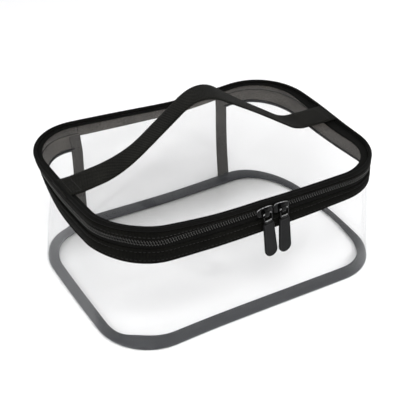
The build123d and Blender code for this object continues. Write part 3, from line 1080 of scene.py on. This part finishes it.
def bridge_arch(foot, rise, half_z, width, thick):
    """The arch that holds the pull: up from the plate, along it and down again."""
    angles = np.linspace(0, math.pi, 21)
    z = -half_z * np.sign(np.cos(angles)) * np.abs(np.cos(angles)) ** 0.6
    out = foot + rise * np.abs(np.sin(angles)) ** 0.6
    middle = np.column_stack([z, out])
    tangent = unit(np.gradient(middle, axis=0))
    section = rounded_section(width / 2, thick / 2)
    rings = []
    for (mz, mo), (tz, to) in zip(middle, tangent):
        rings.append([(a, -(mo + b * tz), mz - b * to) for a, b in section])
    return shell(rings)


def paint_top_highlight(obj):
    """Faces turned upward get the lighter coat: a painted highlight along the upper edges, where the
    lamps would glint.
    """
    obj.data.materials.append(PAINTED_HIGHLIGHT)
    for face in obj.data.polygons:
        if face.normal.z > 0.4 and face.normal.y < 0.3:
            face.material_index = 1


def make_slider(hand):
    """Painted slider: domed front plate, arch, back plate and the neck between them."""
    lo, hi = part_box(f"slider_{hand}")
    half = (hi.x - lo.x) / 2 + 0.1 * MM
    plate_out = 2.0 * MM
    parts = [
        pillow(half, -4.7 * MM, 4.7 * MM, plate_out, plate_out + 1.5 * MM, 0.24),
        pillow(half - 0.6 * MM, -4.2 * MM, 4.2 * MM, -2.7 * MM, -1.6 * MM, 0.22),
        bridge_arch(plate_out + 1.1 * MM, 3.2 * MM, 3.2 * MM, 4.0 * MM, 1.15 * MM),
    ]
    neck_x = half - 3 * MM
    section = rounded_section(1.4 * MM, 0.2 * MM)
    ends = (-1.8 * MM, plate_out + 0.5 * MM)
    parts.append(shell([[(neck_x + a, -out, b) for a, b in section] for out in ends]))
    place = np.array([(lo.x + hi.x) / 2 - 1.5 * MM, FRONT_Y, ZIP_Z])
    if hand == "right":
        parts = [(verts * (-1, 1, 1), [face[::-1] for face in faces]) for verts, faces in parts]
    moved = [(place + verts, faces) for verts, faces in parts]
    slider = joined(f"slider_{hand}_painted", moved)
    finish_piece(slider, f"slider_{hand}", PAINTED, "slider_metal", f"slider_{hand}")
    # painted highlight on the faces turned upward
    paint_top_highlight(slider)


def hung(points, hand):
    """Puts points, given about the pull's pivot, on the pull as it hangs a little askew."""
    lean_angle = PULL_LEAN[hand]
    pivot = np.array(JOINTS[f"pull_{hand}_swing"]["pos_m"], float)
    x, y, z = np.asarray(points, float).reshape(-1, 3).T
    cos, sin = math.cos(lean_angle), math.sin(lean_angle)
    return np.column_stack([x * cos - z * sin, y, z * cos + x * sin]) + pivot


def make_pull_frame(hand):
    """Round-edged wire frame with a sleeve where it enters the grip."""
    half, height, corner = 3.5 * MM, 7.2 * MM, 1.6 * MM
    high, low = -corner, corner - height
    path = []
    for side, z, first in ((1, high, 90), (1, low, 0), (-1, low, -90), (-1, high, -180)):
        path += arc(side * (half - corner), z, corner, first, first - 90, 7)
    path = np.array(path)
    tangent = unit(np.roll(path, -1, 0) - np.roll(path, 1, 0))
    section = rounded_section(0.68 * MM, 0.6 * MM, 12, 0.7)
    loop_rings = []
    for (px, pz), (tx, tz) in zip(path, tangent):
        loop_rings.append([(px - b * tz, a, pz + b * tx) for a, b in section])
    section = rounded_section(3.3 * MM, 0.85 * MM, 20, 0.5)
    sleeve_rings = []
    for z, scale in ((-6.9, 0.9), (-7.3, 1.0), (-9.6, 1.0)):
        sleeve_rings.append([(a * scale, b * scale, z * MM) for a, b in section])
    parts = [shell(loop_rings, closed=True), shell(sleeve_rings)]
    pull = joined(f"pull_frame_{hand}_painted", [(hung(v, hand), f) for v, f in parts])
    turn_outward(pull)
    finish_piece(pull, f"pull_{hand}", PAINTED, "slider_metal", f"pull_frame_{hand}")
    # painted highlight on the faces turned upward
    paint_top_highlight(pull)


def grip_outline(inset):
    """Outline of the grip in X and Z about the pivot, moved in by inset: square top, round end."""
    top, length, end_r = -8.9 * MM, 32.0 * MM, 5.45 * MM
    corner = max(1.2 * MM - inset, 0.15 * MM)
    corner_x, corner_z = 4.6 * MM - inset - corner, top - inset - corner
    points = arc(-corner_x, corner_z, corner, 180, 90, 6)
    points += arc(corner_x, corner_z, corner, 90, 0, 6)
    return points + arc(0, top - length + end_r, end_r - inset, 0, -180, 25)


def make_grip(hand):
    """Soft-coated grip: rounded edge, a fine ridge and a shallow panel on its face."""
    # How far each ring lies in from the outline and out from the grip's middle, in millimetres
    face = [(1.6, 0.98), (1.25, 0.98), (1.1, 1.12), (0.75, 1.15), (0.35, 1.05), (0.1, 0.8)]
    back = [(0.0, 0.45), (0.0, -0.45), (0.1, -0.8), (0.35, -1.05), (0.75, -1.15), (1.6, -1.15)]
    rings = []
    for inset, out in face + back:
        rings.append([(x, -out * MM, z) for x, z in grip_outline(inset * MM)])
    verts, faces = shell(rings)
    grip = joined(f"pull_grip_{hand}_coated", [(hung(verts, hand), faces)])
    turn_outward(grip)
    finish_piece(grip, f"pull_{hand}", PULL_COAT, "pull_coat", f"pull_grip_{hand}")


make_camera()
make_studio()
make_walls()
make_flat_panels()
make_floor_tape()
for side, sign in (("left", -1), ("right", 1)):
    make_upright_tape(sign * SEAM_X - SEAM_SHIFT, side)
make_lid_tape()
make_band()
make_hinge_strip()
make_teeth("lower_teeth", "bag", COIL_HI.z - TEETH_Z, 0, "lower_zip_coil")
make_teeth("upper_teeth", "lid", UPPER_COIL_LO.z + TEETH_Z, math.pi, "upper_zip_coil")
make_strap()
make_stitches()
for hand in ("left", "right"):
    make_slider(hand)
    make_pull_frame(hand)
    make_grip(hand)
